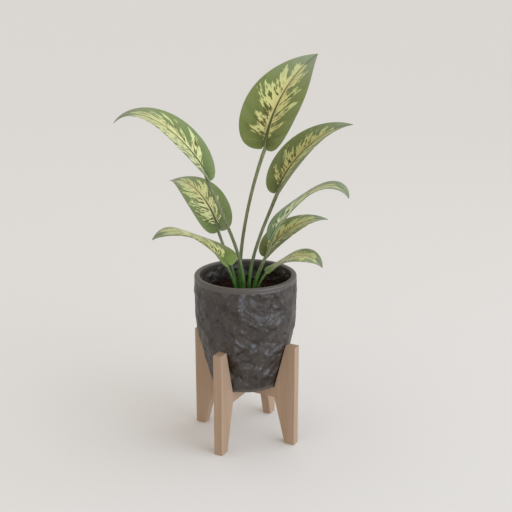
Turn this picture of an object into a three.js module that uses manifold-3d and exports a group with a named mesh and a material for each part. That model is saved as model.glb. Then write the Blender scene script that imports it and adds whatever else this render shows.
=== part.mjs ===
// Potted dieffenbachia: eight variegated leaves on long stalks, in a crumpled clay pot that
// sits by its foot in a stand of two crossed wooden planks.
// Millimetres and degrees, +Z up. The origin is on the floor, in the middle of the stand.

import * as THREE from "three";
import Module from "manifold-3d";
import { mergeVertices } from "three/addons/utils/BufferGeometryUtils.js";

const wasm = await Module();
wasm.setup();

// Clearance between pieces that rest on or in each other
const GAP = 0.3;

// Stand: each plank is one board, cut to two legs with a crossbar between them
const PLANK = {
  reach: 113.5,
  thickness: 18,
  height: 209,
  topWidth: 21.5,
  footWidth: 21,
  barHalfLength: 68.5,
  barBottom: 95.5,
  barTop: 117,
  edge: 0.8,
};

// Pot: a tapered side that runs smoothly into an upright upper part
const POT = {
  seat: PLANK.barTop + GAP,
  rimHeight: 341.5,
  rimRadius: 100.3,
  footRadius: 67.4,
  taper: 0.2587,
  shoulder: 3.5,
  wall: 11.2,
  floor: 12,
  rimRounding: 3.2,
  footRounding: 1.6,
  rimBand: 8,
  footBand: 6,
  relief: 4,
  reliefMiddle: 0.42,
  foldDirections: 9,
  foldSpacing: 38,
  foldSpread: 7,
  wander: 7,
  wanderLength: [23, 29],
  sides: 48,
  rows: 20,
  innerRows: 5,
};

// Soil: its level, how lumpy it is and how deep the stalks stand in it
const SOIL = {
  level: 303,
  lump: 3,
  lumpLengths: [6.1, 7.7, 5.3, 9.1],
  clearance: 0.5,
  rings: 7,
  sideRows: 4,
  stalkDepth: 38,
};

// Form that all blades share, as shares of the blade's length and half width. Each half of the
// base is a rounded lobe about lobeMiddle, measured by an angle from lobeStart to 90 degrees,
// and the rest tapers to the tip. sweep is how the side veins bend forward from the midrib to
// the margin.
const BLADE = {
  widestRow: 0.42,
  lobeCentre: 0.31,
  lobeReach: 0.35,
  lobeMiddle: 0.25,
  lobeStart: -10,
  lobeEase: 0.95,
  lobeSquareness: 0.85,
  fullness: 0.92,
  taper: 1.45,
  sweep: 1.6,
  cup: 0.12,
  thickness: 0.9,
  ribDepth: 2.2,
  ribHalfWidth: 2.6,
  ribWidestShare: 0.25,
  rows: 20,
  columns: [0.4, 0.72, 1],
  spineSteps: 48,
};

// Stalks are round, thicker at the soil and where they meet the blade
const STALK = {
  footRadius: 4,
  middleRadius: 3,
  topRadius: 3.7,
  sides: 8,
  steps: 13,
  rise: 0.33,
  drop: 1.6,
  holeMargin: 1.2 * GAP,
};

// Each leaf. joint is where the blade meets its stalk. heading, climb and roll are the midrib's
// compass direction, slope and tilt at four even steps from base to tip. fold is how far the
// halves lift from the midrib at base and tip. foot, lean, reach, sway and girth shape the stalk:
// sway is how far it swings sideways before it meets the blade. The fourth leaf is a broader
// heart than the others, with one side wider than the other.
const LEAVES = [
  {
    joint: [29.5, 25.5, 591], length: 219, width: 120, fold: [0.5, 0.24],
    heading: [70, 71, 70, 62], climb: [80, 58, 41, 26], roll: [11, 14, 19, 33],
    foot: [-19, 9], lean: [-4, 6], reach: 0.26, girth: 1, sway: [-17, -7],
  },
  {
    joint: [-49, -55, 536], length: 229, width: 101, fold: [0.38, 0.26],
    heading: [222, 217, 211, 208], climb: [69, 49, 25, -50], roll: [-21, -22, -15, -7],
    foot: [-1, -5], lean: [-5, 12], reach: 0.34, girth: 1, sway: [-5, 3],
  },
  {
    joint: [-64.5, 6.5, 422], length: 175, width: 83, fold: [0.28, 0.18],
    heading: [170, 169, 164, 164], climb: [70, 46, 14, -18], roll: [-20, -17, -14, -9],
    foot: [-23, -1], lean: [3, 3], reach: 0.36, girth: 0.85,
  },
  {
    joint: [-15, -50.5, 373.5], length: 167, width: 80, fold: [0.5, 0],
    heading: [185, 213, 230, 215], climb: [46, 37, 16, -51], roll: [-4, 5, -3, -30],
    foot: [-12, -16], lean: [-2, -3], reach: 0.04, girth: 0.85,
    cup: 0.2, lobeReach: 0.37, lopsided: -0.2,
  },
  {
    joint: [44.5, 47.5, 501], length: 202, width: 93, fold: [0.44, 0.4],
    heading: [45, 42, 38, 34], climb: [69, 50, 32, 4], roll: [6, 11, 14, 19],
    foot: [3, 9], lean: [0, 0], reach: 0.4, girth: 1, sway: [-3, -1],
  },
  {
    joint: [58.5, -3.5, 421.5], length: 203, width: 87, fold: [0.32, 0.08],
    heading: [14, 28, 17, -5], climb: [75, 46, 26, -82], roll: [20, -2, 1, 31],
    foot: [19, -1], lean: [3, -1], reach: 0.36, girth: 0.9,
  },
  {
    joint: [31, 25, 376], length: 150, width: 71, fold: [0.4, 0.22],
    heading: [27, 35, 38, 37], climb: [65, 40, 20, -16], roll: [20, 14, 12, 12],
    foot: [13, 10], lean: [1, -2], reach: 0.38, girth: 0.9,
  },
  {
    joint: [36, 23.5, 345], length: 126, width: 61, fold: [0.12, 0.18],
    heading: [35, 30, 10, -10], climb: [36, 25, -3, -63], roll: [0, -7, 22, 39],
    foot: [22, 8], lean: [0, -2], reach: 0.12, girth: 0.8,
  },
];

const COLOURS = {
  wood: 0xb39b83,
  clay: 0x4d4742,
  soil: 0x3a2a22,
  stalk: 0x7c7d60,
  leaf: 0x6f8049,
};

// A smooth curve through four evenly spaced values, read at s from 0 to 1
function through([a, b, c, d], s) {
  const first = (1 - 3 * s) * (2 - 3 * s);
  const last = s * (3 * s - 1);
  const middle = 9 * s * (1 - s);
  const low = a * first * (1 - s) + b * middle * (2 - 3 * s);
  const high = c * middle * (3 * s - 1) + d * last * (3 * s - 2);
  return (low + high) / 2;
}

// A closed solid from its points and triangles
function solid(points, triangles) {
  const geometry = new THREE.BufferGeometry();
  const positions = points.flatMap((point) => [point.x, point.y, point.z]);
  geometry.setAttribute("position", new THREE.Float32BufferAttribute(positions, 3));
  geometry.setIndex(triangles);
  return geometry;
}

// One shared vertex wherever faces meet, with the faces pointing out
function welded(geometry) {
  geometry.deleteAttribute("normal");
  geometry.deleteAttribute("uv");
  const merged = mergeVertices(geometry, 1e-3);
  const position = merged.getAttribute("position");
  const index = merged.getIndex();
  const [a, b, c] = [new THREE.Vector3(), new THREE.Vector3(), new THREE.Vector3()];
  const kept = [];
  let volume = 0;
  for (let i = 0; i < index.count; i += 3) {
    const corners = [index.getX(i), index.getX(i + 1), index.getX(i + 2)];
    if (new Set(corners).size === 3) {
      kept.push(corners);
      a.fromBufferAttribute(position, corners[0]);
      b.fromBufferAttribute(position, corners[1]);
      c.fromBufferAttribute(position, corners[2]);
      volume += a.dot(b.cross(c));
    }
  }
  merged.setIndex(kept.flatMap(([p, q, r]) => (volume > 0 ? [p, q, r] : [p, r, q])));
  return merged;
}

// Triangle wave from 0 to 1, the cross-section of a row of sharp folds
function foldWave(value) {
  return 2 * Math.abs(value - Math.floor(value + 0.5));
}

// Crumpled relief from 0 to 1 at a point: sharp folds that cross each other in many directions
function crumple(point) {
  const goldenAngle = Math.PI * (3 - Math.sqrt(5));
  const [wanderZ, wanderX] = POT.wanderLength;
  let sum = 0;
  for (let k = 0; k < POT.foldDirections; k += 1) {
    const height = 1 - (2 * k + 1) / POT.foldDirections;
    const flat = Math.sqrt(1 - height * height);
    const turn = goldenAngle * k;
    const direction = new THREE.Vector3(flat * Math.cos(turn), flat * Math.sin(turn), height);
    const wave = Math.sin(point.z / wanderZ + k) + Math.sin(point.x / wanderX + 2 * k);
    const spacing = POT.foldSpacing + POT.foldSpread * (k % 3);
    sum += foldWave((point.dot(direction) + POT.wander * wave) / spacing + turn);
  }
  return sum / POT.foldDirections;
}

// Outside radius of the pot: the taper and the upright part, joined softly
function potRadius(z) {
  const side = POT.footRadius + POT.taper * (z - POT.seat);
  const blend = Math.exp(-side / POT.shoulder) + Math.exp(-POT.rimRadius / POT.shoulder);
  return -POT.shoulder * Math.log(blend);
}

function innerRadius(z) {
  return potRadius(z) - POT.wall;
}

function makePot() {
  const profile = [];
  const add = (radius, z) => profile.push(new THREE.Vector2(radius, z));
  const reliefStart = POT.seat + POT.footBand;
  const reliefEnd = POT.rimHeight - POT.rimBand;
  add(0, POT.seat);
  add(POT.footRadius - POT.footRounding, POT.seat);
  add(potRadius(POT.seat + POT.footRounding), POT.seat + POT.footRounding);
  for (let i = 0; i <= POT.rows; i += 1) {
    const z = THREE.MathUtils.lerp(reliefStart, reliefEnd, i / POT.rows);
    add(potRadius(z), z);
  }
  // The rim is rounded over from its outside to its inside
  const inside = POT.rimRadius - POT.wall;
  const rounding = POT.rimRounding;
  for (const turn of [0, 45, 90]) {
    const angle = THREE.MathUtils.degToRad(turn);
    const lift = rounding * (Math.sin(angle) - 1);
    add(POT.rimRadius - rounding * (1 - Math.cos(angle)), POT.rimHeight + lift);
  }
  for (const turn of [90, 45, 0]) {
    const angle = THREE.MathUtils.degToRad(turn);
    const lift = rounding * (Math.sin(angle) - 1);
    add(inside + rounding * (1 - Math.cos(angle)), POT.rimHeight + lift);
  }
  const floorTop = POT.seat + POT.floor;
  for (let i = 1; i <= POT.innerRows; i += 1) {
    const z = THREE.MathUtils.lerp(POT.rimHeight - rounding, floorTop, i / POT.innerRows);
    add(innerRadius(z), z);
  }
  add(0, floorTop);

  const geometry = new THREE.LatheGeometry(profile, POT.sides).rotateX(Math.PI / 2);
  const pot = welded(geometry);
  const position = pot.getAttribute("position");
  const point = new THREE.Vector3();
  for (let i = 0; i < position.count; i += 1) {
    point.fromBufferAttribute(position, i);
    const radius = Math.hypot(point.x, point.y);
    const onSide = radius > potRadius(point.z) - 1 && point.z > reliefStart && point.z < reliefEnd;
    if (onSide) {
      const pressed = 1 - (POT.relief * (crumple(point) - POT.reliefMiddle)) / radius;
      position.setXYZ(i, point.x * pressed, point.y * pressed, point.z);
    }
  }
  return pot;
}

// One plank of the stand, running along X. The lap slot is cut from above or from below.
function makePlank(slotFromAbove) {
  const shape = new THREE.Shape();
  const { reach, barHalfLength, barBottom, barTop, height, topWidth, footWidth } = PLANK;
  const lap = (barBottom + barTop) / 2;
  const slot = PLANK.thickness / 2 + GAP;
  shape.moveTo(reach, 0);
  shape.lineTo(reach, height);
  shape.lineTo(reach - topWidth, height);
  shape.lineTo(barHalfLength, barTop);
  if (slotFromAbove) {
    shape.lineTo(slot, barTop);
    shape.lineTo(slot, lap - GAP / 2);
    shape.lineTo(-slot, lap - GAP / 2);
    shape.lineTo(-slot, barTop);
  }
  shape.lineTo(-barHalfLength, barTop);
  shape.lineTo(-reach + topWidth, height);
  shape.lineTo(-reach, height);
  shape.lineTo(-reach, 0);
  shape.lineTo(-reach + footWidth, 0);
  shape.lineTo(-barHalfLength, barBottom);
  if (!slotFromAbove) {
    shape.lineTo(-slot, barBottom);
    shape.lineTo(-slot, lap + GAP / 2);
    shape.lineTo(slot, lap + GAP / 2);
    shape.lineTo(slot, barBottom);
  }
  shape.lineTo(barHalfLength, barBottom);
  shape.lineTo(reach - footWidth, 0);
  shape.closePath();
  const geometry = new THREE.ExtrudeGeometry(shape, {
    depth: PLANK.thickness - 2 * PLANK.edge,
    bevelEnabled: true,
    bevelThickness: PLANK.edge,
    bevelSize: PLANK.edge,
    bevelOffset: -PLANK.edge,
    bevelSegments: 1,
  });
  geometry.translate(0, 0, PLANK.edge - PLANK.thickness / 2).rotateX(Math.PI / 2);
  return welded(geometry);
}

// Frames along a leaf's midrib: place, forward, side (to the left) and up out of the upper face
function makeSpine(leaf) {
  const frames = [];
  const place = new THREE.Vector3(...leaf.joint);
  const step = leaf.length / BLADE.spineSteps;
  for (let i = 0; i <= BLADE.spineSteps; i += 1) {
    const s = i / BLADE.spineSteps;
    const [heading, climb, roll] = [leaf.heading, leaf.climb, leaf.roll].map(
      (values) => THREE.MathUtils.degToRad(through(values, s)),
    );
    const flat = Math.cos(climb);
    const forward = new THREE.Vector3(
      flat * Math.cos(heading),
      flat * Math.sin(heading),
      Math.sin(climb),
    );
    const level = new THREE.Vector3(-Math.sin(heading), Math.cos(heading), 0);
    const above = forward.clone().cross(level);
    const side = level.clone().multiplyScalar(Math.cos(roll)).addScaledVector(above, Math.sin(roll));
    const up = above.clone().multiplyScalar(Math.cos(roll)).addScaledVector(level, -Math.sin(roll));
    if (i > 0) {
      const before = frames[i - 1].forward;
      place.addScaledVector(before.clone().add(forward), step / 2);
    }
    frames.push({ place: place.clone(), forward, side, up });
  }
  return frames;
}

// The frame at a share of the midrib's length, straight on behind the joint
function frameAt(frames, share) {
  const inside = THREE.MathUtils.clamp(share, 0, 1) * BLADE.spineSteps;
  const low = Math.min(Math.floor(inside), BLADE.spineSteps - 1);
  const [a, b] = [frames[low], frames[low + 1]];
  const mix = (name) => a[name].clone().lerp(b[name], inside - low);
  return { place: mix("place"), forward: mix("forward"), side: mix("side"), up: mix("up") };
}

// Outline of a blade: for a row from base (0) to tip (1), how far along and how wide it ends
function outline(leaf, row) {
  const { widestRow, lobeCentre, lobeMiddle, lobeStart, lobeEase, taper } = BLADE;
  if (row < widestRow) {
    const turn = lobeStart + (90 - lobeStart) * (row / widestRow) ** lobeEase;
    const angle = THREE.MathUtils.degToRad(turn);
    const back = (leaf.lobeReach ?? BLADE.lobeReach) * Math.cos(angle) ** BLADE.lobeSquareness;
    const swing = Math.sign(angle) * Math.abs(Math.sin(angle)) ** BLADE.fullness;
    return [lobeCentre - back, lobeMiddle + (1 - lobeMiddle) * swing];
  }
  const t = (row - widestRow) / (1 - widestRow);
  return [lobeCentre + (1 - lobeCentre) * t, 1 - taper * t ** 2 + (taper - 1) * t ** 3];
}

// A point of the upper face, and the direction out of it, at a row and a share across
function bladePoint(leaf, frames, row, across) {
  const [end, half] = outline(leaf, row);
  const start = row ** BLADE.sweep;
  const away = Math.abs(across);
  const along = start + (end - start) * away ** BLADE.sweep;
  const halfWidth = leaf.width / 2;
  const reach = half * away;
  const lopsided = 1 + (leaf.lopsided ?? 0) * Math.sign(across) * (1 - row);
  const [foldBase, foldTip] = leaf.fold;
  const fold = foldBase + (foldTip - foldBase) * THREE.MathUtils.clamp(along, 0, 1);
  const cup = leaf.cup ?? BLADE.cup;
  const frame = frameAt(frames, along);
  const point = frame.place
    .addScaledVector(frames[0].forward, Math.min(along, 0) * leaf.length)
    .addScaledVector(frame.side, Math.sign(across) * reach * lopsided * halfWidth)
    .addScaledVector(frame.up, halfWidth * (fold * reach - cup * reach ** 2));
  return [point, frame.up];
}

// A blade: the upper face and the lower face with its rib, split alike, joined round the edge
function makeBlade(leaf) {
  const frames = makeSpine(leaf);
  const { rows, columns } = BLADE;
  const count = 2 * columns.length + 3;
  const top = [];
  const bottom = [];
  const addPair = (row, across, isRib) => {
    const [point, up] = bladePoint(leaf, frames, row, across);
    const rib = isRib ? BLADE.ribDepth * (1 - row) * (leaf.length / LEAVES[0].length) : 0;
    top.push(point);
    bottom.push(point.clone().addScaledVector(up, -BLADE.thickness - rib));
  };
  for (let i = 0; i < rows; i += 1) {
    const row = i / rows;
    const ribShare = BLADE.ribHalfWidth / (outline(leaf, row)[1] * leaf.width / 2);
    const rib = Math.min(BLADE.ribWidestShare, ribShare);
    const left = [rib, ...columns];
    const across = [...left.map((share) => -share).reverse(), 0, ...left];
    across.forEach((share) => addPair(row, share, share === 0));
  }
  addPair(1, 0, false);
  const under = top.length;
  const tip = top.length - 1;
  const triangles = [];
  const face = (a, b, c) => triangles.push(a, b, c, a + under, c + under, b + under);
  const wall = (a, b) => triangles.push(b, a, a + under, b, a + under, b + under);
  for (let i = 0; i < rows; i += 1) {
    for (let j = 0; j < count - 1; j += 1) {
      const a = i * count + j;
      const d = a + 1;
      if (i === rows - 1) {
        face(a, tip, d);
      } else {
        face(a, a + count, d + count);
        face(a, d + count, d);
      }
      if (i === 0) {
        wall(d, a);
      }
    }
    const first = i * count;
    const last = first + count - 1;
    const isLastRow = i === rows - 1;
    wall(first, isLastRow ? tip : first + count);
    wall(isLastRow ? tip : last + count, last);
  }
  return solid([...top, ...bottom], triangles);
}

// Radius of a stalk from the soil (0) to the blade (1)
function stalkRadius(leaf, t) {
  const { footRadius, middleRadius, topRadius } = STALK;
  const swell = (footRadius - middleRadius) * (1 - t) ** 3 + (topRadius - middleRadius) * t ** 4;
  return leaf.girth * (middleRadius + swell);
}

// The stalk's curve from the soil to just behind the blade's base notch, under its upper face
function stalkCurve(leaf) {
  const { forward, up } = makeSpine(leaf)[0];
  const radius = stalkRadius(leaf, 1);
  const [lobeEnd, lobeHalf] = outline(leaf, 0);
  const notch = -lobeEnd * leaf.length * (radius / (lobeHalf * leaf.width / 2)) ** BLADE.sweep;
  const foot = new THREE.Vector3(...leaf.foot, SOIL.level);
  const end = new THREE.Vector3(...leaf.joint)
    .addScaledVector(forward, -GAP - notch)
    .addScaledVector(up, -STALK.drop);
  const span = end.distanceTo(foot);
  const rising = foot.clone().add(new THREE.Vector3(...leaf.lean, STALK.rise * span));
  const arriving = end.clone()
    .addScaledVector(forward, -leaf.reach * span)
    .add(new THREE.Vector3(...(leaf.sway ?? [0, 0]), 0));
  return new THREE.CubicBezierCurve3(foot, rising, arriving, end);
}

// A round rod through stations that give its centre, direction and radius
function rod(stations) {
  const points = [];
  const triangles = [];
  const { sides } = STALK;
  let across = new THREE.Vector3(1, 0, 0);
  for (const { centre, direction, radius } of stations) {
    across = across.clone().addScaledVector(direction, -across.dot(direction)).normalize();
    const other = direction.clone().cross(across);
    for (let k = 0; k < sides; k += 1) {
      const angle = (2 * Math.PI * k) / sides;
      points.push(centre.clone()
        .addScaledVector(across, radius * Math.cos(angle))
        .addScaledVector(other, radius * Math.sin(angle)));
    }
  }
  const lastRing = (stations.length - 1) * sides;
  for (let i = 0; i < stations.length - 1; i += 1) {
    for (let k = 0; k < sides; k += 1) {
      const a = i * sides + k;
      const b = i * sides + ((k + 1) % sides);
      triangles.push(a, b, b + sides, a, b + sides, a + sides);
    }
  }
  for (let k = 1; k < sides - 1; k += 1) {
    triangles.push(0, k + 1, k, lastRing, lastRing + k, lastRing + k + 1);
  }
  return solid(points, triangles);
}

// Stations of a stalk, upright in the soil and then along its curve. A margin makes the hole
// that it stands in: the same form, wider and deeper.
function stalkStations(leaf, margin = 0) {
  const curve = stalkCurve(leaf);
  const bottom = curve.getPoint(0);
  bottom.z -= SOIL.stalkDepth + margin;
  const direction = new THREE.Vector3(0, 0, 1);
  const stations = [{ centre: bottom, direction, radius: stalkRadius(leaf, 0) + margin }];
  for (let i = 0; i <= STALK.steps; i += 1) {
    const t = i / STALK.steps;
    stations.push({
      centre: curve.getPoint(t),
      direction: curve.getTangent(t),
      radius: stalkRadius(leaf, t) + margin,
    });
  }
  return stations;
}

function makeStalk(leaf) {
  return rod(stalkStations(leaf));
}

// The hole that a stalk stands in, open above the highest lumps
function makeHole(leaf) {
  const clear = SOIL.level + 2 * SOIL.lump;
  const stations = stalkStations(leaf, STALK.holeMargin);
  const above = stations.findIndex((station) => station.centre.z > clear);
  return rod(stations.slice(0, above + 1));
}

function toManifold(geometry) {
  return new wasm.Manifold(new wasm.Mesh({
    numProp: 3,
    vertProperties: new Float32Array(geometry.getAttribute("position").array),
    triVerts: new Uint32Array(geometry.getIndex().array),
  }));
}

function fromManifold(body) {
  const mesh = body.getMesh();
  const geometry = new THREE.BufferGeometry();
  geometry.setAttribute("position", new THREE.BufferAttribute(mesh.vertProperties, 3));
  geometry.setIndex([...mesh.triVerts]);
  return geometry;
}

// Soil: fills the pot from its floor, lumpy on top, with a plain hole for each stalk
function makeSoil() {
  const bottom = POT.seat + POT.floor + GAP;
  const profile = [new THREE.Vector2(0, bottom)];
  for (let i = 0; i <= SOIL.sideRows; i += 1) {
    const z = THREE.MathUtils.lerp(bottom, SOIL.level, i / SOIL.sideRows);
    profile.push(new THREE.Vector2(innerRadius(z) - SOIL.clearance, z));
  }
  const topRadius = innerRadius(SOIL.level) - SOIL.clearance;
  for (let i = SOIL.rings - 1; i >= 0; i -= 1) {
    profile.push(new THREE.Vector2((topRadius * i) / SOIL.rings, SOIL.level));
  }
  const [a, b, c, d] = SOIL.lumpLengths;
  const soil = welded(new THREE.LatheGeometry(profile, POT.sides).rotateX(Math.PI / 2));
  const position = soil.getAttribute("position");
  for (let i = 0; i < position.count; i += 1) {
    const [x, y, z] = [position.getX(i), position.getY(i), position.getZ(i)];
    if (z > SOIL.level - 1) {
      const wave = Math.sin(x / a + Math.sin(y / b)) * Math.cos(y / c + Math.sin(x / d));
      position.setZ(i, z + SOIL.lump * wave);
    }
  }
  return fromManifold(LEAVES.reduce(
    (body, leaf) => body.subtract(toManifold(makeHole(leaf))),
    toManifold(soil),
  ));
}

const materials = {
  wood: new THREE.MeshStandardMaterial({ color: COLOURS.wood, roughness: 0.6 }),
  clay: new THREE.MeshStandardMaterial({ color: COLOURS.clay, roughness: 0.75 }),
  soil: new THREE.MeshStandardMaterial({ color: COLOURS.soil, roughness: 0.95 }),
  stalk: new THREE.MeshStandardMaterial({ color: COLOURS.stalk, roughness: 0.5 }),
  leaf: new THREE.MeshStandardMaterial({ color: COLOURS.leaf, roughness: 0.4 }),
};

function piece(name, geometry, material) {
  const mesh = new THREE.Mesh(geometry, material);
  mesh.name = name;
  return mesh;
}

const plant = new THREE.Group();
const plankY = piece("stand_plank_y", makePlank(false), materials.wood);
plankY.rotation.z = Math.PI / 2;
plant.add(piece("stand_plank_x", makePlank(true), materials.wood), plankY);
plant.add(piece("pot", makePot(), materials.clay));
plant.add(piece("soil", makeSoil(), materials.soil));
LEAVES.forEach((leaf, i) => {
  plant.add(piece(`petiole_${i + 1}`, makeStalk(leaf), materials.stalk));
  plant.add(piece(`blade_${i + 1}`, makeBlade(leaf), materials.leaf));
});

export default plant;
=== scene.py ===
# Potted dieffenbachia: variegated leaves on long stalks, in a crumpled clay pot that sits in
# a stand of two crossed beech planks. Sizes are in millimetres until they become mesh points.
import math
import random

import bmesh
import bpy
from mathutils import Matrix, Vector, noise


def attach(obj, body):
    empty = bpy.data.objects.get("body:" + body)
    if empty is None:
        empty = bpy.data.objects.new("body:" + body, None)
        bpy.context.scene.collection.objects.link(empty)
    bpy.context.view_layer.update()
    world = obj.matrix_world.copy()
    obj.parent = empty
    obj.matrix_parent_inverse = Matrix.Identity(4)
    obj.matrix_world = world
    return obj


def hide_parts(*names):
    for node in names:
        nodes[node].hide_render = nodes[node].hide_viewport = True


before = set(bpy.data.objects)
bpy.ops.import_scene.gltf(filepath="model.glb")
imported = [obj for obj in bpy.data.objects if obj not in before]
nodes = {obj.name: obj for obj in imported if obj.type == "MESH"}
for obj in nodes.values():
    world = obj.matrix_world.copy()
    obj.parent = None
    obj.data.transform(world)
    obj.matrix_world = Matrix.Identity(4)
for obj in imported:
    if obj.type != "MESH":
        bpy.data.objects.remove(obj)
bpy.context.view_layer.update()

MM = 0.001

# Sizes that follow the solid model
SOIL_LEVEL = 303
POT_SEAT = 117.3
POT_RIM = 341.5
POT_RADIUS = 100.3
POT_FOOT_RADIUS = 67.4
POT_TAPER = 0.2587
POT_SHOULDER = 3.5
POT_WALL = 11.2
POT_FLOOR = 12

# Fine folds of the clay: size of the cells in millimetres, slope of their flanks, and turn
CLAY_FOLDS = [
    (44, 0.26, (0.4, 0.9, 0.3)),
    (26, 0.24, (1.1, 0.2, 0.7)),
    (14, 0.12, (0.3, 0.5, 1.4)),
]

# Form that all blades share
WIDEST_ROW = 0.42
LOBE_CENTRE = 0.31
LOBE_REACH = 0.35
LOBE_MIDDLE = 0.25
LOBE_START = -10
LOBE_EASE = 0.95
LOBE_SQUARENESS = 0.85
FULLNESS = 0.92
TAPER = 1.45
SWEEP = 1.6
CUP = 0.12
SPINE_STEPS = 48
BLADE_THICKNESS = 0.9
RIB_DEPTH = 2.2
RIB_HALF_WIDTH = 2.6

# Each leaf: where the blade meets its stalk, its size, and along its midrib from base to tip
# the compass heading, the climb and the roll. fold lifts the halves from the midrib at base
# and tip. foot, lean, reach, sway and girth shape the stalk. cream is how far the variegation
# spreads over the left and the right half, and draw is the place of the blade in the noise.
# painted_sheen is how much painted blue-green sheen, standing in for the light off the waxy skin, is
# on the blade, and fresh how green its base is.
LEAVES = [
    dict(
        joint=(29.5, 25.5, 591), length=219, width=120, fold=(0.5, 0.24),
        heading=(70, 71, 70, 62), climb=(80, 58, 41, 26), roll=(11, 14, 19, 33),
        foot=(-19, 9), lean=(-4, 6), reach=0.26, girth=1.0, sway=(-17, -7),
        cream=(1.0, 1.0), draw=17.4,
    ),
    dict(
        joint=(-49, -55, 536), length=229, width=101, fold=(0.38, 0.26),
        heading=(222, 217, 211, 208), climb=(69, 49, 25, -50), roll=(-21, -22, -15, -7),
        foot=(-1, -5), lean=(-5, 12), reach=0.34, girth=1.0, sway=(-5, 3),
        cream=(2.1, 1.0), draw=20.0, painted_sheen=0.25,
    ),
    dict(
        joint=(-64.5, 6.5, 422), length=175, width=83, fold=(0.28, 0.18),
        heading=(170, 169, 164, 164), climb=(70, 46, 14, -18), roll=(-20, -17, -14, -9),
        foot=(-23, -1), lean=(3, 3), reach=0.36, girth=0.85,
        cream=(1.4, 1.0), draw=37.4, painted_sheen=0.2,
    ),
    dict(
        joint=(-15, -50.5, 373.5), length=167, width=80, fold=(0.5, 0),
        heading=(185, 213, 230, 215), climb=(46, 37, 16, -51), roll=(-4, 5, -3, -30),
        foot=(-12, -16), lean=(-2, -3), reach=0.04, girth=0.85,
        cup=0.2, lobe_reach=0.37, lopsided=-0.2,
        cream=(1.7, 1.6), draw=43.3, fresh=0.4,
    ),
    dict(
        joint=(44.5, 47.5, 501), length=202, width=93, fold=(0.44, 0.4),
        heading=(45, 42, 38, 34), climb=(69, 50, 32, 4), roll=(6, 11, 14, 19),
        foot=(3, 9), lean=(0, 0), reach=0.4, girth=1.0, sway=(-3, -1),
        cream=(1.2, 1.6), draw=50.0,
    ),
    dict(
        joint=(58.5, -3.5, 421.5), length=203, width=87, fold=(0.32, 0.08),
        heading=(14, 28, 17, -5), climb=(75, 46, 26, -82), roll=(20, -2, 1, 31),
        foot=(19, -1), lean=(3, -1), reach=0.36, girth=0.9,
        cream=(0.9, 1.5), draw=60.0, painted_sheen=1.0,
    ),
    dict(
        joint=(31, 25, 376), length=150, width=71, fold=(0.4, 0.22),
        heading=(27, 35, 38, 37), climb=(65, 40, 20, -16), roll=(20, 14, 12, 12),
        foot=(13, 10), lean=(1, -2), reach=0.38, girth=0.9,
        cream=(1.3, 1.7), draw=77.4, fresh=0.0,
    ),
    dict(
        joint=(36, 23.5, 345), length=126, width=61, fold=(0.12, 0.18),
        heading=(35, 30, 10, -10), climb=(36, 25, -3, -63), roll=(0, -7, 22, 39),
        foot=(22, 8), lean=(0, -2), reach=0.12, girth=0.8,
        cream=(1.3, 1.6), draw=80.0,
    ),
]


# Colours and nodes


def linear(hex_code):
    """An sRGB hex colour as the linear RGBA that shaders take."""
    channels = [int(hex_code[i:i + 2], 16) / 255 for i in (1, 3, 5)]
    curved = [c / 12.92 if c <= 0.04045 else ((c + 0.055) / 1.055) ** 2.4 for c in channels]
    return (*curved, 1)


def put(material, kind, settings=None, **inputs):
    """Adds a node to a material, or to the world. settings are its own properties, and an
    input, by its name or as i and its number, is a value or the socket of another node."""
    made = material.node_tree.nodes.new(kind)
    for name, value in (settings or {}).items():
        setattr(made, name, value)
    for name, value in inputs.items():
        key = int(name[1:]) if name[0] == "i" and name[1:].isdigit() else name.replace("_", " ")
        socket = made.inputs[key]
        if isinstance(value, bpy.types.NodeSocket):
            material.node_tree.links.new(value, socket)
        else:
            socket.default_value = value
    return made


def new_material(name):
    """A material with its own Principled shader, which is returned with it."""
    material = bpy.data.materials.new(name)
    material.use_nodes = True
    return material, material.node_tree.nodes["Principled BSDF"]


def link(material, source, target):
    material.node_tree.links.new(source, target)


def ramp(material, factor, stops, ease="LINEAR"):
    """A ramp over factor, from (position, value) stops: hex colours, or heights."""
    made = put(material, "ShaderNodeValToRGB", Fac=factor)
    made.color_ramp.interpolation = ease
    while len(made.color_ramp.elements) < len(stops):
        made.color_ramp.elements.new(0.5)
    for element, (position, value) in zip(made.color_ramp.elements, stops):
        element.position = position
        element.color = linear(value) if isinstance(value, str) else (value, value, value, 1)
    return made.outputs["Color"]


def level(material, factor, stops):
    """A smooth height over factor, from (position, height) stops."""
    return ramp(material, factor, stops, "EASE")


def maths(material, operation, first, second=0.0, third=0.0):
    made = put(material, "ShaderNodeMath", {"operation": operation}, i0=first, i1=second, i2=third)
    return made.outputs["Value"]


def blend(material, factor, first, second):
    """first where factor is 0, second where it is 1."""
    made = put(material, "ShaderNodeMix", {"data_type": "RGBA"}, Factor=factor, i6=first, i7=second)
    return made.outputs[2]


def edge(material, value, low, high):
    """0 at low, 1 at high and smooth between them, whichever of the two is the larger."""
    made = put(
        material, "ShaderNodeMapRange", {"interpolation_type": "SMOOTHSTEP"},
        Value=value, From_Min=low, From_Max=high,
    )
    return made.outputs["Result"]


def between(material, value, low, high):
    """A value from 0 to 1, brought into the range from low to high."""
    made = put(material, "ShaderNodeMapRange", Value=value, To_Min=low, To_Max=high)
    return made.outputs["Result"]


def attribute(material, name):
    """A value that the mesh holds at each of its points."""
    return put(material, "ShaderNodeAttribute", {"attribute_name": name}).outputs["Fac"]


def object_place(material):
    """The place of a point of the object, in metres."""
    return put(material, "ShaderNodeTexCoord").outputs["Object"]


def object_height(material):
    """The height of a point of the object, in metres."""
    return put(material, "ShaderNodeSeparateXYZ", Vector=object_place(material)).outputs["Z"]


def stretched(material, vector, share):
    """Coordinates in which a pattern gets long along Z. share is its scale along Z."""
    made = put(material, "ShaderNodeMapping", Vector=vector, Scale=(1, 1, share))
    return made.outputs["Vector"]


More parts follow.
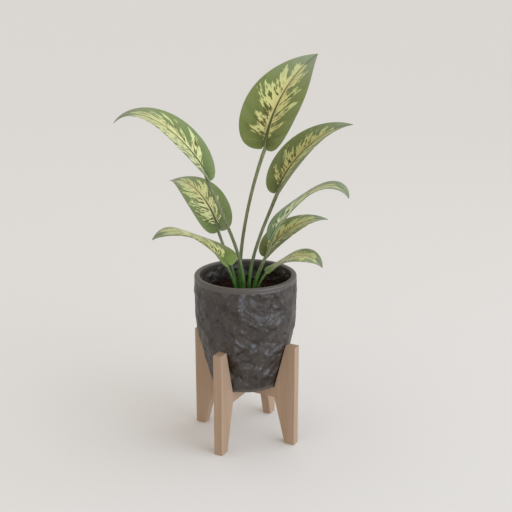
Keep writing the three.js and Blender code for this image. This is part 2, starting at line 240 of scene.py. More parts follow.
def cloud(material, vector, size, detail=2.0, roughness=0.5):
    """Noise in soft cells of about this size in millimetres."""
    made = put(
        material, "ShaderNodeTexNoise", Vector=vector,
        Scale=1 / (size * MM), Detail=detail, Roughness=roughness,
    )
    return made.outputs["Fac"]


def engrave(material, shader, height, strength, distance, inwards=False):
    """Fine relief on the surface. A height of 1 is distance in millimetres."""
    made = put(
        material, "ShaderNodeBump", {"invert": inwards},
        Strength=strength, Distance=distance * MM, Height=height,
    )
    link(material, made.outputs["Normal"], shader.inputs["Normal"])


# Materials


def sanded_beech():
    """Fine-sanded beech boards under a thin matt varnish: straight pale grain along the legs,
    with the short dark flecks of beech. Streaks are drawn 3 mm wide so that they show."""
    material, shader = new_material("sanded_beech")
    place = object_place(material)
    along_legs = stretched(material, place, 0.035)
    streaks = cloud(material, along_legs, 3, 4.0, 0.6)
    bands = cloud(material, along_legs, 19)
    flecks = cloud(material, stretched(material, place, 0.16), 0.9, 1.0)
    grain = maths(material, "MULTIPLY_ADD", streaks, 0.6, maths(material, "MULTIPLY", bands, 0.4))
    tone = ramp(material, grain, [(0.36, "#a2866a"), (0.5, "#aa8d73"), (0.64, "#b1957b")])
    fleck = maths(material, "MULTIPLY", edge(material, flecks, 0.66, 0.76), 0.25)
    link(material, blend(material, fleck, tone, linear("#8d6f55")), shader.inputs["Base Color"])
    link(material, between(material, streaks, 0.5, 0.62), shader.inputs["Roughness"])
    engrave(material, shader, streaks, 0.35, 0.15)
    shader.inputs["IOR"].default_value = 1.5
    return material


def unglazed_clay():
    """Dark stoneware, pressed in a crumpled mould and left unglazed: a dense, slightly satin
    charcoal brown. Its finer folds are the flat flanks of cells of three sizes that overlap,
    and the grit is drawn at 0.8 mm so that it shows. The smooth rim and foot bands get a
    lighter tone that is a painted highlight, and the inner wall gets part of it as painted light."""
    material, shader = new_material("unglazed_stoneware")
    place = object_place(material)
    grit = cloud(material, place, 0.8, 3.0, 0.6)
    tone = ramp(
        material, cloud(material, place, 26, 3.0),
        [(0.3, "#2e2620"), (0.5, "#352c26"), (0.7, "#3e352e")],
    )
    folds_and_painted_light = attribute(material, "folds_and_painted_light")
    # Painted highlight and painted light: the smooth rim and foot bands, and in part the inner wall,
    # take a lighter tone for the light they catch
    tone = blend(material, folds_and_painted_light, linear("#4e463f"), tone)
    speck = maths(material, "MULTIPLY", edge(material, grit, 0.6, 0.75), 0.3)
    link(material, blend(material, speck, tone, linear("#5d5752")), shader.inputs["Base Color"])
    link(material, between(material, grit, 0.38, 0.5), shader.inputs["Roughness"])

    # The places of the cells wander by a few millimetres, so that no crease is quite straight
    wander = put(
        material, "ShaderNodeTexNoise", Vector=place, Scale=1 / (12 * MM), Detail=1.0,
    ).outputs["Color"]
    wander = put(
        material, "ShaderNodeVectorMath", {"operation": "MULTIPLY_ADD"},
        i0=wander, i1=(2 * MM, 2 * MM, 2 * MM), i2=place,
    ).outputs["Vector"]
    relief = maths(material, "MULTIPLY", grit, 0.02)
    for size, slope, turn in CLAY_FOLDS:
        turned = put(material, "ShaderNodeMapping", Vector=wander, Rotation=turn)
        folds = put(
            material, "ShaderNodeTexVoronoi", {"distance": "MANHATTAN"},
            Vector=turned.outputs["Vector"], Scale=1 / (size * MM),
        )
        relief = maths(material, "MULTIPLY_ADD", folds.outputs["Distance"], size * slope, relief)
    engrave(material, shader, relief, folds_and_painted_light, 1)
    shader.inputs["IOR"].default_value = 1.62
    return material


def potting_soil():
    """Moist peat and bark: dull, dark red-brown, in grains of 1 to 3 mm."""
    material, shader = new_material("peat_and_bark_soil")
    place = object_place(material)
    grains = put(material, "ShaderNodeTexVoronoi", Vector=place, Scale=1 / (2.4 * MM))
    shade = put(material, "ShaderNodeSeparateColor", Color=grains.outputs["Color"])
    fibres = cloud(material, place, 1.1, 3.0)
    mixed = maths(
        material, "MULTIPLY_ADD", shade.outputs["Red"], 0.5, maths(material, "MULTIPLY", fibres, 0.5)
    )
    tone = ramp(
        material, mixed,
        [(0.2, "#0f0905"), (0.45, "#20130c"), (0.62, "#351d14"), (0.8, "#482c1e")],
    )
    link(material, tone, shader.inputs["Base Color"])
    engrave(material, shader, grains.outputs["Distance"], 0.7, 0.5, inwards=True)
    shader.inputs["Roughness"].default_value = 0.95
    shader.inputs["IOR"].default_value = 1.2
    return material


def leaf_stalk():
    """A living leaf stalk: smooth and slightly waxy, fresh green down in the pot and greyer
    and browner higher up, with darker streaks along it."""
    material, shader = new_material("leaf_stalk_skin")
    streaks = cloud(material, stretched(material, object_place(material), 0.06), 1.8, 3.0)
    low = ramp(material, streaks, [(0.35, "#3f6a2b"), (0.6, "#5c8a3c")])
    high = ramp(material, streaks, [(0.35, "#5f6546"), (0.6, "#858a63")])
    rising = edge(material, object_height(material), 318 * MM, 392 * MM)
    link(material, blend(material, rising, low, high), shader.inputs["Base Color"])
    engrave(material, shader, streaks, 0.3, 0.2)
    shader.inputs["Roughness"].default_value = 0.42
    shader.inputs["IOR"].default_value = 1.42
    return material


def near_soil(material, row):
    """How much fresher the green is: most at the base of a blade that is low over the pot."""
    low = edge(material, object_height(material), 406 * MM, 374 * MM)
    low = maths(material, "MULTIPLY", low, edge(material, row, 0.42, 0.24))
    return maths(material, "MULTIPLY", low, attribute(material, "fresh_share"))


def variegation(material):
    """The pattern of a blade, as sockets. UV runs across and from base to tip, along the side
    veins: cream feathers follow the veins out from the midrib and break up into flecks, inside
    a green margin. The pattern goes through the blade, so that both faces show it."""
    uv = put(material, "ShaderNodeUVMap", {"uv_map": "UVMap"}).outputs["UV"]
    parts = put(material, "ShaderNodeSeparateXYZ", Vector=uv)
    row = parts.outputs["Y"]
    side = maths(material, "MULTIPLY_ADD", parts.outputs["X"], 2.0, -1.0)
    across = maths(material, "ABSOLUTE", side)
    right = maths(material, "GREATER_THAN", side, 0.0)
    layer = maths(material, "MULTIPLY_ADD", right, 3.7, attribute(material, "leaf_seed"))
    # The pattern leans towards the tip, more so on the right half than on the left
    lean = maths(material, "MULTIPLY_ADD", right, -0.06, -0.12)
    leaning_row = maths(material, "MULTIPLY_ADD", across, lean, row)

    def vein_noise(rows, columns, lift, detail):
        """Noise in cells stretched along the side veins: rows and columns to a half blade."""
        vector = put(
            material, "ShaderNodeCombineXYZ",
            X=maths(material, "MULTIPLY", across, columns),
            Y=maths(material, "MULTIPLY", leaning_row, rows),
            Z=maths(material, "ADD", layer, lift),
        ).outputs["Vector"]
        made = put(material, "ShaderNodeTexNoise", Vector=vector, Scale=1.0, Detail=detail)
        return made.outputs["Fac"]

    feathers = vein_noise(17, 1.0, 0.0, 2.0)
    tufts = vein_noise(50, 2.6, 5.0, 3.0)
    flecks = vein_noise(120, 9, 11.0, 3.0)
    inner = vein_noise(36, 3.4, 23.0, 3.0)
    # How far out the cream reaches, as a share of the half width
    reach = level(
        material, leaning_row,
        [(0, 0), (0.14, 0), (0.21, 0.36), (0.34, 0.52), (0.6, 0.55), (0.8, 0.43), (0.89, 0)],
    )
    reach = maths(material, "MULTIPLY", reach, attribute(material, "cream_share"))
    # How ragged its edge is, and where along and across the blade it is ragged
    ragged = maths(
        material, "MULTIPLY_ADD", maths(material, "SUBTRACT", feathers, 0.5), 2.6,
        maths(material, "MULTIPLY", maths(material, "SUBTRACT", tufts, 0.5), 1.5),
    )
    ragged = maths(
        material, "MULTIPLY_ADD", maths(material, "SUBTRACT", flecks, 0.5), 1.0, ragged,
    )
    spread = maths(
        material, "MULTIPLY",
        edge(material, leaning_row, 0.08, 0.22), edge(material, row, 0.95, 0.75),
    )
    spread = maths(
        material, "MULTIPLY", spread, maths(material, "MULTIPLY_ADD", across, -0.4, 1.0),
    )
    # The cream that always lies along the midrib
    core = level(
        material, leaning_row,
        [(0, 0), (0.16, 0), (0.26, 0.1), (0.5, 0.16), (0.7, 0.22), (0.87, 0.1), (0.93, 0)],
    )
    inside = maths(
        material, "SUBTRACT",
        maths(material, "MAXIMUM", maths(material, "MULTIPLY_ADD", ragged, spread, reach), core),
        across,
    )
    cream = edge(material, inside, -0.02, 0.06)
    # Dark green gaps inside the cream, fewer towards the tip and none at the midrib
    holes = maths(material, "MULTIPLY_ADD", flecks, 0.35, inner)
    gaps = edge(material, maths(material, "MULTIPLY_ADD", row, -0.14, holes), 0.625, 0.685)
    gaps = maths(material, "MULTIPLY", gaps, edge(material, across, 0.04, 0.14))
    dark = maths(
        material, "MULTIPLY", maths(material, "MULTIPLY", cream, gaps),
        maths(material, "MULTIPLY", edge(material, row, 0.8, 0.4), 0.85),
    )
    cream = maths(material, "MULTIPLY", cream, maths(material, "SUBTRACT", 1.0, gaps))
    fresh = near_soil(material, row)
    cream = maths(
        material, "MULTIPLY", cream, maths(material, "MULTIPLY_ADD", fresh, -0.5, 1.0),
    )
    return {
        "row": row, "across": across, "cream": cream, "dark": dark, "fresh": fresh,
        "ragged": ragged, "flecks": flecks, "veins": inner,
    }


def leaf_upper():
    """The waxy upper skin of a variegated blade: cream inside a deep olive-green margin, with
    a grey-green midrib. The greyer tip and the blue-green tone on some blades are painted sheen."""
    material, shader = new_material("variegated_leaf_upper")
    pattern = variegation(material)
    row = pattern["row"]
    outwards = maths(
        material, "MULTIPLY_ADD", row, 0.28, maths(material, "MULTIPLY", pattern["across"], 0.8),
    )
    green = ramp(
        material, maths(material, "MULTIPLY_ADD", pattern["ragged"], -0.35, outwards),
        [(0.0, "#535824"), (0.28, "#5e682c"), (0.66, "#727d3f"), (1.0, "#7c884f")],
    )
    # Painted sheen: the green and the cream grey towards the tip, for the light the blade reflects
    # at grazing angles there
    tip = maths(material, "MULTIPLY", edge(material, row, 0.6, 0.98), 0.75)
    # Painted sheen: a blue-green tone on the green and a paler one on the cream, for the light that
    # the waxy skin reflects on some blades
    painted_sheen = maths(
        material, "MULTIPLY", attribute(material, "painted_sheen"), edge(material, row, 0.85, 0.35),
    )
    green = blend(material, painted_sheen, green, linear("#728f60"))
    green = blend(material, tip, green, linear("#8d957a"))
    green = blend(material, pattern["dark"], green, linear("#605d28"))
    green = blend(material, pattern["fresh"], green, linear("#6d8834"))
    pale = ramp(
        material, maths(material, "MULTIPLY_ADD", pattern["flecks"], 0.6, pattern["across"]),
        [(0.25, "#cbbd80"), (0.55, "#d4d088"), (0.95, "#c8cc88")],
    )
    pale = blend(material, painted_sheen, pale, linear("#dce8b8"))
    pale = blend(material, maths(material, "MULTIPLY", tip, 0.8), pale, linear("#a9af86"))
    tone = blend(material, pattern["cream"], green, pale)
    # The midrib is widest at the base, and gets thinner towards the tip
    tail = maths(material, "POWER", maths(material, "SUBTRACT", 1.0, row), 2.0)
    rib_half = maths(material, "MULTIPLY_ADD", tail, 5.8, 0.8)
    rib = maths(
        material, "SUBTRACT", 1.0,
        edge(
            material, maths(material, "DIVIDE", attribute(material, "rib_gap"), rib_half),
            0.7, 1.0,
        ),
    )
    rib_tone = blend(material, pattern["fresh"], linear("#545c32"), linear("#6d8834"))
    tone = blend(material, rib, tone, rib_tone)
    link(material, tone, shader.inputs["Base Color"])
    engrave(material, shader, pattern["veins"], 0.3, 0.25)
    rough = between(material, pattern["flecks"], 0.32, 0.44)
    link(material, rough, shader.inputs["Roughness"])
    shader.inputs["IOR"].default_value = 1.5
    # Young green is duller than the grown blade
    sheen = maths(material, "MULTIPLY_ADD", pattern["fresh"], -0.06, 0.06)
    link(material, sheen, shader.inputs["Sheen Weight"])
    gloss = maths(material, "MULTIPLY_ADD", pattern["fresh"], -0.25, 0.35)
    link(material, gloss, shader.inputs["Specular IOR Level"])
    shader.inputs["Sheen Roughness"].default_value = 0.35
    return material


def leaf_under():
    """The duller underside of a blade: the same pattern, in paler and greyer tones."""
    material, shader = new_material("variegated_leaf_under")
    pattern = variegation(material)
    mixed = maths(material, "MULTIPLY_ADD", pattern["across"], -0.35, pattern["veins"])
    green = ramp(material, mixed, [(0.1, "#6a7648"), (0.35, "#737f4c"), (0.6, "#7d8855")])
    green = blend(material, pattern["fresh"], green, linear("#6d8834"))
    tone = blend(material, pattern["cream"], green, linear("#bdbb7f"))
    link(material, tone, shader.inputs["Base Color"])
    engrave(material, shader, pattern["veins"], 0.3, 0.25)
    shader.inputs["Roughness"].default_value = 0.52
    shader.inputs["IOR"].default_value = 1.43
    return material


def studio_paper():
    """Matt, warm off-white paper under the object."""
    material, shader = new_material("matt_backdrop_paper")
    shader.inputs["Base Color"].default_value = (0.765, 0.728, 0.682, 1)
    shader.inputs["Roughness"].default_value = 1.0
    shader.inputs["Specular IOR Level"].default_value = 0.0
    return material


BEECH = sanded_beech()
CLAY = unglazed_clay()
SOIL = potting_soil()
STALK = leaf_stalk()
UPPER = leaf_upper()
UNDER = leaf_under()


# Helpers for making pieces


def alone(piece):
    """Selects one object and nothing else, in object mode."""
    if bpy.context.object and bpy.context.object.mode != "OBJECT":
        bpy.ops.object.mode_set(mode="OBJECT")
    bpy.ops.object.select_all(action="DESELECT")
    piece.select_set(True)
    bpy.context.view_layer.objects.active = piece


def apply_all(piece):
    """Applies every modifier, in order."""
    alone(piece)
    for name in [modifier.name for modifier in piece.modifiers]:
        bpy.ops.object.modifier_apply(modifier=name)


def weld(threshold, outwards=True):
    """Joins points of the active piece that lie within threshold millimetres, and turns its
    faces outwards."""
    bpy.ops.object.mode_set(mode="EDIT")
    bpy.ops.mesh.select_all(action="SELECT")
    bpy.ops.mesh.remove_doubles(threshold=threshold * MM)
    if outwards:
        bpy.ops.mesh.normals_make_consistent(inside=False)
    bpy.ops.object.mode_set(mode="OBJECT")


def cover(piece, *materials):
    """Gives a piece these materials, and no other."""
    piece.data.materials.clear()
    for material in materials:
        piece.data.materials.append(material)


def point_values(mesh, name, values):
    """Stores one value for each point, for the materials to read."""
    mesh.attributes.new(name, "FLOAT", "POINT").data.foreach_set("value", values)


def finish_piece(piece, name, replaced=()):
    """Names a piece, puts it on the body it rides on, and hides the solids it stands for."""
    piece.name = name
    piece.data.name = name
    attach(piece, "root")
    if replaced:
        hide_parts(*replaced)


def spun(profile, steps):
    """A closed shell: a profile of (radius, height) in millimetres, from axis to axis, spun
    once round Z."""
    bpy.ops.object.select_all(action="DESELECT")
    bpy.ops.mesh.primitive_circle_add(vertices=3, radius=MM)
    piece = bpy.context.object
    # The profile takes the place of the circle
    shape = bmesh.new()
    last = None
    for radius, height in profile:
        vertex = shape.verts.new((radius * MM, 0, height * MM))
        if last:
            shape.edges.new((last, vertex))
        last = vertex
    shape.to_mesh(piece.data)
    shape.free()
    turned = piece.modifiers.new("turned", "SCREW")
    turned.steps = steps
    turned.render_steps = steps
    apply_all(piece)
    weld(0.01)
    return piece


# The pot

FACET_HEIGHT = 11.5
FACET_COLUMNS = 54
RIM_BAND = 9
FOOT_BAND = 6
SIDE_LOW = POT_SEAT + FOOT_BAND
SIDE_HIGH = POT_RIM - RIM_BAND
INNER_LOW = SOIL_LEVEL - 24


def pot_radius(z):
    """Outside radius of the pot in millimetres: taper and upright part, joined softly."""
    side = POT_FOOT_RADIUS + POT_TAPER * (z - POT_SEAT)
    blended = math.exp(-side / POT_SHOULDER) + math.exp(-POT_RADIUS / POT_SHOULDER)
    return -POT_SHOULDER * math.log(blended)


def pot_profile():
    """The section of the pot, from the middle of its underside, over the rim, to the middle of
    its floor."""
    rim_rounding = 3.4
    foot_rounding = 2.2
    recess = 2
    recess_radius = 58
    ring_slope = 3
    # The recessed underside, its foot ring, the foot band, the crumpled side and the rim band
    profile = [(0, POT_SEAT + recess), (recess_radius, POT_SEAT + recess)]
    profile += [(recess_radius + ring_slope, POT_SEAT), (POT_FOOT_RADIUS - foot_rounding, POT_SEAT)]
    profile += [(pot_radius(POT_SEAT + rise), POT_SEAT + rise) for rise in (1.8, 4)]
    rows = round((SIDE_HIGH - SIDE_LOW) / FACET_HEIGHT)
    side = [SIDE_LOW + (SIDE_HIGH - SIDE_LOW) * i / rows for i in range(rows + 1)]
    profile += [(pot_radius(z), z) for z in side]
    profile += [(POT_RADIUS - 1.3, SIDE_HIGH + 0.8), (POT_RADIUS - 0.1, SIDE_HIGH + 2)]
    for turn in (0, 30, 60, 90):
        angle = math.radians(turn)
        profile.append((
            POT_RADIUS - rim_rounding * (1 - math.cos(angle)),
            POT_RIM - rim_rounding * (1 - math.sin(angle)),
        ))
    inside = POT_RADIUS - POT_WALL
    for turn in (90, 60, 30, 0):
        angle = math.radians(turn)
        profile.append((
            inside + rim_rounding * (1 - math.cos(angle)),
            POT_RIM - rim_rounding * (1 - math.sin(angle)),
        ))
    # The inner wall, crumpled to some way down in the soil and plain below that
    inner_rows = 6
    inner = [SIDE_HIGH + (INNER_LOW - SIDE_HIGH) * i / inner_rows for i in range(inner_rows + 1)]
    inner += [250, 200, 150, POT_SEAT + POT_FLOOR]
    profile += [(pot_radius(z) - POT_WALL, z) for z in inner]
    profile.append((0, POT_SEAT + POT_FLOOR))
    return profile


def is_inner_wall(place):
    """Whether a place is on the crumpled part of the inner wall."""
    z = place.z / MM
    radius = math.hypot(place.x, place.y) / MM
    return abs(radius - pot_radius(z) + POT_WALL) < 3 and INNER_LOW < z < SIDE_HIGH


def is_folded(place):
    """Whether a place is on the walls between the foot band and the rim band."""
    return SIDE_LOW + 2 < place.z / MM < SIDE_HIGH - 1 or is_inner_wall(place)


def crumple(mesh, chance):
    """Turns the even net of facets on the walls into an irregular one of flat triangles."""
    jog = 0.44
    outer_depth = (-1.1, 1.4)
    inner_depth = (-1.2, 2.2)
    shape = bmesh.new()
    shape.from_mesh(mesh)
    crumpled = set()
    # Each point moves along the wall by up to nearly half a facet, and a little in or out
    for vertex in shape.verts:
        z = vertex.co.z / MM
        radius = math.hypot(vertex.co.x, vertex.co.y) / MM
        outside = radius > pot_radius(z) - 1 and SIDE_LOW + 1 < z < SIDE_HIGH - 1
        within = abs(radius - pot_radius(z) + POT_WALL) < 1 and INNER_LOW + 1 < z < SIDE_HIGH - 1
        if not (outside or within):
            continue
        crumpled.add(vertex)
        angle = math.atan2(vertex.co.y, vertex.co.x)
        angle += chance.uniform(-jog, jog) * 2 * math.pi / FACET_COLUMNS
        z += chance.uniform(-jog, jog) * FACET_HEIGHT
        depth = chance.uniform(*(outer_depth if outside else inner_depth))
        radius = pot_radius(z) - (0 if outside else POT_WALL) - depth
        vertex.co = Vector((radius * math.cos(angle), radius * math.sin(angle), z)) * MM
    # Every facet is cut in two, from corner to corner
    faces = [face for face in shape.faces if any(vertex in crumpled for vertex in face.verts)]
    for face in faces:
        corners = list(face.verts)
        if len(corners) == 4:
            turn = chance.randrange(2)
            bmesh.utils.face_split(face, corners[turn], corners[turn + 2])
    creases = shape.edges.layers.float.new("crease_edge")
    for line in shape.edges:
        if line.verts[0] in crumpled or line.verts[1] in crumpled:
            line[creases] = 1.0
    shape.normal_update()
    shape.to_mesh(mesh)
    shape.free()


def make_pot():
    """The crumpled pot: sharp folds on both walls, between a smooth rim and a smooth foot."""
    chance = random.Random(7)
    piece = spun(pot_profile(), FACET_COLUMNS)
    mesh = piece.data
    crumple(mesh, chance)
    # Small folds on the large ones, then one more step that rounds the rim and the foot
    for small_fold in (0.2, 0):
        divide = piece.modifiers.new("divide", "SUBSURF")
        divide.levels = 1
        divide.render_levels = 1
        apply_all(piece)
        for vertex in mesh.vertices:
            if small_fold and is_folded(vertex.co):
                outwards = Vector((vertex.co.x, vertex.co.y, 0)).normalized()
                vertex.co += outwards * (chance.uniform(-small_fold, small_fold) * MM)
        creased = [
            1.0 if all(is_folded(mesh.vertices[end].co) for end in line.vertices) else 0.0
            for line in mesh.edges
        ]
        mesh.attributes["crease_edge"].data.foreach_set("value", creased)
    # 0.55 on the inner wall weakens its folds and gives it part of the lighter tone, as painted
    # light
    point_values(mesh, "folds_and_painted_light", [
        0.55 if is_inner_wall(vertex.co) else 1.0 if is_folded(vertex.co) else 0.0
        for vertex in mesh.vertices
    ])
    bpy.ops.object.shade_smooth_by_angle(angle=math.radians(9))
    cover(piece, CLAY)
    finish_piece(piece, "crumpled_pot", ["pot"])


# The soil


def soil_height(x, y):
    """Level of the soil in millimetres: low mounds with clods on them."""
    mound_size = 34
    mound_height = 2.6
    clod_size = 6.5
    clod_height = 1.9
    mounds = noise.fractal(Vector((x / mound_size, y / mound_size, 2.0)), 0.8, 2.0, 3)
    clods = noise.fractal(Vector((x / clod_size, y / clod_size, 7.0)), 0.9, 2.1, 4)
    return SOIL_LEVEL + mound_height * mounds + clod_height * clods


def make_soil():
    """The soil in the pot: one filled body with a lumpy, grainy top."""
    bottom = POT_SEAT + POT_FLOOR + 0.5
    gap = 0.6
    rings = 54
    top_radius = pot_radius(SOIL_LEVEL) - POT_WALL - gap
    profile = [(0, bottom)]
    side = (bottom, 180, 240, 280, SOIL_LEVEL - 9)
    profile += [(pot_radius(z) - POT_WALL - gap, z) for z in side]
    profile += [(top_radius * i / rings, SOIL_LEVEL) for i in range(rings, -1, -1)]
    piece = spun(profile, 120)
    for vertex in piece.data.vertices:
        x, y, z = vertex.co / MM
        if z > SOIL_LEVEL - 1:
            near_wall = min(1.0, (top_radius - math.hypot(x, y)) / 3)
            vertex.co.z = (SOIL_LEVEL + (soil_height(x, y) - SOIL_LEVEL) * near_wall) * MM
    alone(piece)
    bpy.ops.object.shade_smooth()
    cover(piece, SOIL)
    finish_piece(piece, "soil_bed", ["soil"])


def make_soil_crumbs():
    """Loose crumbs and bits of bark that lie on the soil, clear of the stalks."""
    chance = random.Random(11)
    crumbs = 420
    stalk_room = 4.6
    shape = bmesh.new()
    reach = pot_radius(SOIL_LEVEL) - POT_WALL - 5
    for _ in range(crumbs):
        distance = reach * math.sqrt(chance.random())
        turn = chance.uniform(0, 2 * math.pi)
        x = distance * math.cos(turn)
        y = distance * math.sin(turn)
        size = chance.uniform(0.8, 2.6)
        if any(math.dist((x, y), leaf["foot"]) < stalk_room + size for leaf in LEAVES):
            continue
        spin = Matrix.Rotation(chance.uniform(0, 6.28), 4, Vector((
            chance.uniform(-1, 1), chance.uniform(-1, 1), chance.uniform(0.1, 1),
        )).normalized())
        stretch = Matrix.Diagonal((
            size * chance.uniform(0.8, 1.7), size * chance.uniform(0.6, 1.0),
            size * chance.uniform(0.4, 0.8), 1,
        ))
        place = Matrix.Translation((x, y, soil_height(x, y) + 0.35 * size))
        bmesh.ops.create_icosphere(
            shape, subdivisions=1, radius=MM,
            matrix=Matrix.Scale(MM, 4) @ place @ spin @ stretch @ Matrix.Scale(1 / MM, 4),
        )
    mesh = bpy.data.meshes.new("soil_crumbs")
    shape.to_mesh(mesh)
    shape.free()
    piece = bpy.data.objects.new("soil_crumbs", mesh)
    bpy.context.collection.objects.link(piece)
    cover(piece, SOIL)
    finish_piece(piece, "soil_crumbs")


# The leaves


def through(values, s):
    """A smooth curve through four evenly spaced values, read at s from 0 to 1."""
    a, b, c, d = values
    first = (1 - 3 * s) * (2 - 3 * s)
    last = s * (3 * s - 1)
    middle = 9 * s * (1 - s)
    low = a * first * (1 - s) + b * middle * (2 - 3 * s)
    high = c * middle * (3 * s - 1) + d * last * (3 * s - 2)
    return (low + high) / 2


def make_spine(leaf):
    """Frames along a midrib: place, forward, side (to the left) and up out of the upper face."""
    frames = []
    place = Vector(leaf["joint"])
    for i in range(SPINE_STEPS + 1):
        s = i / SPINE_STEPS
        heading = math.radians(through(leaf["heading"], s))
        climb = math.radians(through(leaf["climb"], s))
        roll = math.radians(through(leaf["roll"], s))
        forward = Vector((
            math.cos(climb) * math.cos(heading),
            math.cos(climb) * math.sin(heading),
            math.sin(climb),
        ))
        flat = Vector((-math.sin(heading), math.cos(heading), 0))
        above = forward.cross(flat)
        side = flat * math.cos(roll) + above * math.sin(roll)
        up = above * math.cos(roll) - flat * math.sin(roll)
        if i > 0:
            place = place + (frames[-1][1] + forward) * (leaf["length"] / SPINE_STEPS / 2)
        frames.append((place, forward, side, up))
    return frames


def outline(leaf, row):
    """Where a row from base (0) to tip (1) ends: along the length, and of the half width."""
    if row < WIDEST_ROW:
        turn = LOBE_START + (90 - LOBE_START) * (row / WIDEST_ROW) ** LOBE_EASE
        angle = math.radians(turn)
        back = leaf.get("lobe_reach", LOBE_REACH) * math.cos(angle) ** LOBE_SQUARENESS
        swing = math.copysign(abs(math.sin(angle)) ** FULLNESS, angle)
        return LOBE_CENTRE - back, LOBE_MIDDLE + (1 - LOBE_MIDDLE) * swing
    t = (row - WIDEST_ROW) / (1 - WIDEST_ROW)
    return LOBE_CENTRE + (1 - LOBE_CENTRE) * t, 1 - TAPER * t ** 2 + (TAPER - 1) * t ** 3


def blade_point(leaf, frames, row, across):
    """A point of the upper face in millimetres."""
    end, half = outline(leaf, row)
    start = row ** SWEEP
    away = abs(across)
    along = start + (end - start) * away ** SWEEP
    half_width = leaf["width"] / 2
    reach = half * away
    sign = -1 if across < 0 else 1
    lopsided = 1 + leaf.get("lopsided", 0) * sign * (1 - row)
    low, high = leaf["fold"]
    fold = low + (high - low) * min(max(along, 0), 1)
    inside = min(max(along, 0), 1) * SPINE_STEPS
    first = min(int(inside), SPINE_STEPS - 1)
    share = inside - first
    place, _, side, up = (a.lerp(b, share) for a, b in zip(frames[first], frames[first + 1]))
    lift = half_width * (fold * reach - leaf.get("cup", CUP) * reach ** 2)
    relief = blade_relief(leaf, row, across, half)
    point = place + side * (sign * reach * lopsided * half_width) + up * (lift + relief)
    return point + frames[0][1] * (min(along, 0) * leaf["length"])


def blade_relief(leaf, row, across, half):
    """Height of the soft swellings between sunken side veins, with the midrib as a channel."""
    veins = 15
    swelling_height = 0.5
    channel_depth = 0.7
    channel_half = 2.2
    away = abs(across)
    rib_gap = away * half * leaf["width"] / 2
    middle = math.sin(math.pi * min(away * 1.06, 1)) ** 0.7
    offset = 0.5 if across < 0 else 0
    swelling = abs(math.sin(math.pi * (veins * row + offset))) ** 0.8
    channel = math.exp(-((rib_gap / channel_half) ** 2)) * (1 - row)
    fade = min(row / 0.08, 1) * min((1 - row) / 0.1, 1)
    return swelling_height * middle * (swelling - 0.5) * fade - channel_depth * channel


def make_blade(leaf, number):
    """One blade: a grid whose points follow the leaf's form, given thickness and a midrib
    that stands out below."""
    frames = make_spine(leaf)
    bpy.ops.object.select_all(action="DESELECT")
    bpy.ops.mesh.primitive_grid_add(x_subdivisions=40, y_subdivisions=150, size=2)
    piece = bpy.context.object
    mesh = piece.data
    thickest = BLADE_THICKNESS + RIB_DEPTH
    scale = leaf["length"] / LEAVES[0]["length"]
    ribs = piece.vertex_groups.new(name="rib")
    rib_gaps = []
    shares = []
    cream_left, cream_right = leaf["cream"]
    for vertex in mesh.vertices:
        across = -vertex.co.x
        shares.append(cream_left if across > 0 else cream_right)
        row = (vertex.co.y + 1) / 2
        rib_gap = abs(across) * outline(leaf, row)[1] * leaf["width"] / 2
        rib = RIB_DEPTH * scale * (1 - row) * max(0, 1 - rib_gap / RIB_HALF_WIDTH)
        ribs.add([vertex.index], (BLADE_THICKNESS + rib) / thickest, "REPLACE")
        rib_gaps.append(rib_gap / scale)
        vertex.co = blade_point(leaf, frames, row, across) * MM
    points = len(rib_gaps)
    point_values(mesh, "rib_gap", rib_gaps)
    point_values(mesh, "cream_share", shares)
    point_values(mesh, "leaf_seed", [leaf["draw"]] * points)
    point_values(mesh, "painted_sheen", [leaf.get("painted_sheen", 0.0)] * points)
    point_values(mesh, "fresh_share", [leaf.get("fresh", 1.0)] * points)
    weld(0.02, outwards=False)
    cover(piece, UPPER, UNDER)
    thick = piece.modifiers.new("thickness", "SOLIDIFY")
    thick.thickness = thickest * MM
    thick.offset = -1
    thick.vertex_group = "rib"
    thick.material_offset = 1
    thick.material_offset_rim = 1
    apply_all(piece)
    bpy.ops.object.shade_smooth_by_angle(angle=math.radians(50))
    finish_piece(piece, f"leaf_blade_{number}", [f"blade_{number}"])


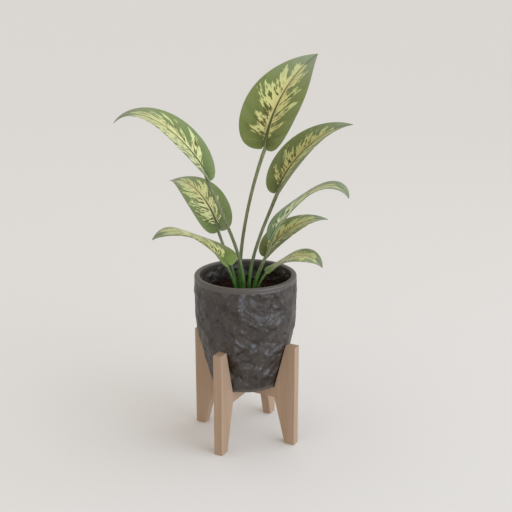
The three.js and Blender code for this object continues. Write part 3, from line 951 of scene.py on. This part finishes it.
def make_stalk(leaf, number):
    """One stalk: a round, slightly tapering stem along a curve, upright where it is in the
    soil."""
    steps = 40
    overlap = 1.5
    below_face = 1.9
    upright_share = 0.33
    depths_in_soil = (30, 20, 10)
    frames = make_spine(leaf)
    joint, forward, _, up = frames[0]
    # Where the notch of the blade's base is as wide as the stalk, and the stalk comes in
    # under the upper face
    top_radius = 3.7 * leaf["girth"]
    end, half = outline(leaf, 0)
    notch = -end * leaf["length"] * (top_radius / (half * leaf["width"] / 2)) ** SWEEP
    finish = joint - forward * (notch - overlap) - up * below_face
    foot = Vector((*leaf["foot"], SOIL_LEVEL))
    span = (finish - foot).length
    rising = foot + Vector((*leaf["lean"], upright_share * span))
    arriving = finish - forward * (leaf["reach"] * span) + Vector((*leaf.get("sway", (0, 0)), 0))
    line = [foot - Vector((0, 0, depth)) for depth in depths_in_soil]
    radii = [4 * leaf["girth"]] * len(depths_in_soil)
    for i in range(steps + 1):
        t = i / steps
        line.append(
            foot * (1 - t) ** 3 + rising * (3 * t * (1 - t) ** 2)
            + arriving * (3 * t ** 2 * (1 - t)) + finish * t ** 3
        )
        radii.append(leaf["girth"] * (3 + (1 - t) ** 3 + 0.7 * t ** 4))
    # It runs on under the midrib and gets thinner, so that the notch is closed: how far along
    # the blade, how deep under its upper face, and how thick
    rib_end = ((0.02, 1.9, 3.1), (0.042, 1.9, 2.4), (0.083, 1.7, 1.5))
    for share, depth, radius in rib_end:
        along, _, _, above = frames[round(share * SPINE_STEPS)]
        line.append(along - above * depth)
        radii.append(leaf["girth"] * radius)
    bpy.ops.object.select_all(action="DESELECT")
    bpy.ops.curve.primitive_nurbs_path_add()
    piece = bpy.context.object
    curve = piece.data
    curve.splines.clear()
    spline = curve.splines.new("POLY")
    spline.points.add(len(line) - 1)
    for point, centre, radius in zip(spline.points, line, radii):
        point.co = (*(centre * MM), 1)
        point.radius = radius
    curve.dimensions = "3D"
    curve.bevel_depth = MM
    curve.bevel_resolution = 5
    curve.use_fill_caps = True
    bpy.ops.object.convert(target="MESH")
    piece = bpy.context.object
    weld(0.01)
    bpy.ops.object.shade_smooth_by_angle(angle=math.radians(50))
    cover(piece, STALK)
    finish_piece(piece, f"leaf_stalk_{number}", [f"petiole_{number}"])


# Camera, floor and light


def make_studio():
    """A plain pale floor, the camera, and soft light from the right over an even surround."""
    bpy.ops.object.select_all(action="DESELECT")
    bpy.ops.mesh.primitive_circle_add(vertices=64, radius=60, fill_type="NGON")
    floor = bpy.context.object
    floor.name = "floor"
    cover(floor, studio_paper())

    looking_down = 16.8
    turned_left = 28.0
    bpy.ops.object.camera_add(
        location=(0.8078, -1.4754, 0.8844),
        rotation=(math.radians(90 - looking_down), 0, math.radians(turned_left)),
    )
    camera = bpy.context.object
    camera.data.lens = 63.66
    camera.data.sensor_width = 36
    camera.data.clip_end = 200
    bpy.context.scene.camera = camera

    world = bpy.data.worlds.new("studio_surround")
    bpy.context.scene.world = world
    world.use_nodes = True
    # Even warm light all round, and a broad cool glow high up at the right
    warm_light = (0.785, 0.76, 0.73, 1)
    cool_glow = (1.35, 1.47, 1.65, 1)
    surround = world.node_tree.nodes["Background"]
    direction = put(world, "ShaderNodeTexCoord").outputs["Generated"]
    towards_glow = put(
        world, "ShaderNodeVectorMath", {"operation": "DOT_PRODUCT"},
        i0=direction, i1=Vector((0.5, 0.2, 0.78)).normalized(),
    ).outputs["Value"]
    glow = edge(world, towards_glow, 0.76, 0.98)
    link(world, blend(world, glow, warm_light, cool_glow), surround.inputs["Color"])
    surround.inputs["Strength"].default_value = 1.0

    def aim(light, target):
        direction = Vector(target) - light.location
        light.rotation_euler = direction.to_track_quat("-Z", "Y").to_euler()

    bpy.ops.object.light_add(type="SUN", location=(2.2, 0.6, 2.6))
    key = bpy.context.object
    key.data.energy = 0.1
    key.data.angle = math.radians(50)
    key.data.color = (1.0, 0.97, 0.93)
    aim(key, (0, 0, 0.2))

    bpy.ops.object.light_add(type="AREA", location=(4.5, -0.8, 1.15))
    softbox = bpy.context.object
    softbox.data.shape = "RECTANGLE"
    softbox.data.size = 5.2
    softbox.data.size_y = 1.6
    softbox.data.spread = math.radians(80)
    softbox.data.energy = 31
    softbox.data.color = (0.66, 0.8, 1.0)
    aim(softbox, (0, 0, 0.3))


for name in ("stand_plank_x", "stand_plank_y"):
    cover(nodes[name], BEECH)

make_pot()
make_soil()
make_soil_crumbs()
for number, leaf in enumerate(LEAVES, start=1):
    make_stalk(leaf, number)
    make_blade(leaf, number)
make_studio()
bpy.context.scene.view_settings.view_transform = "Standard"
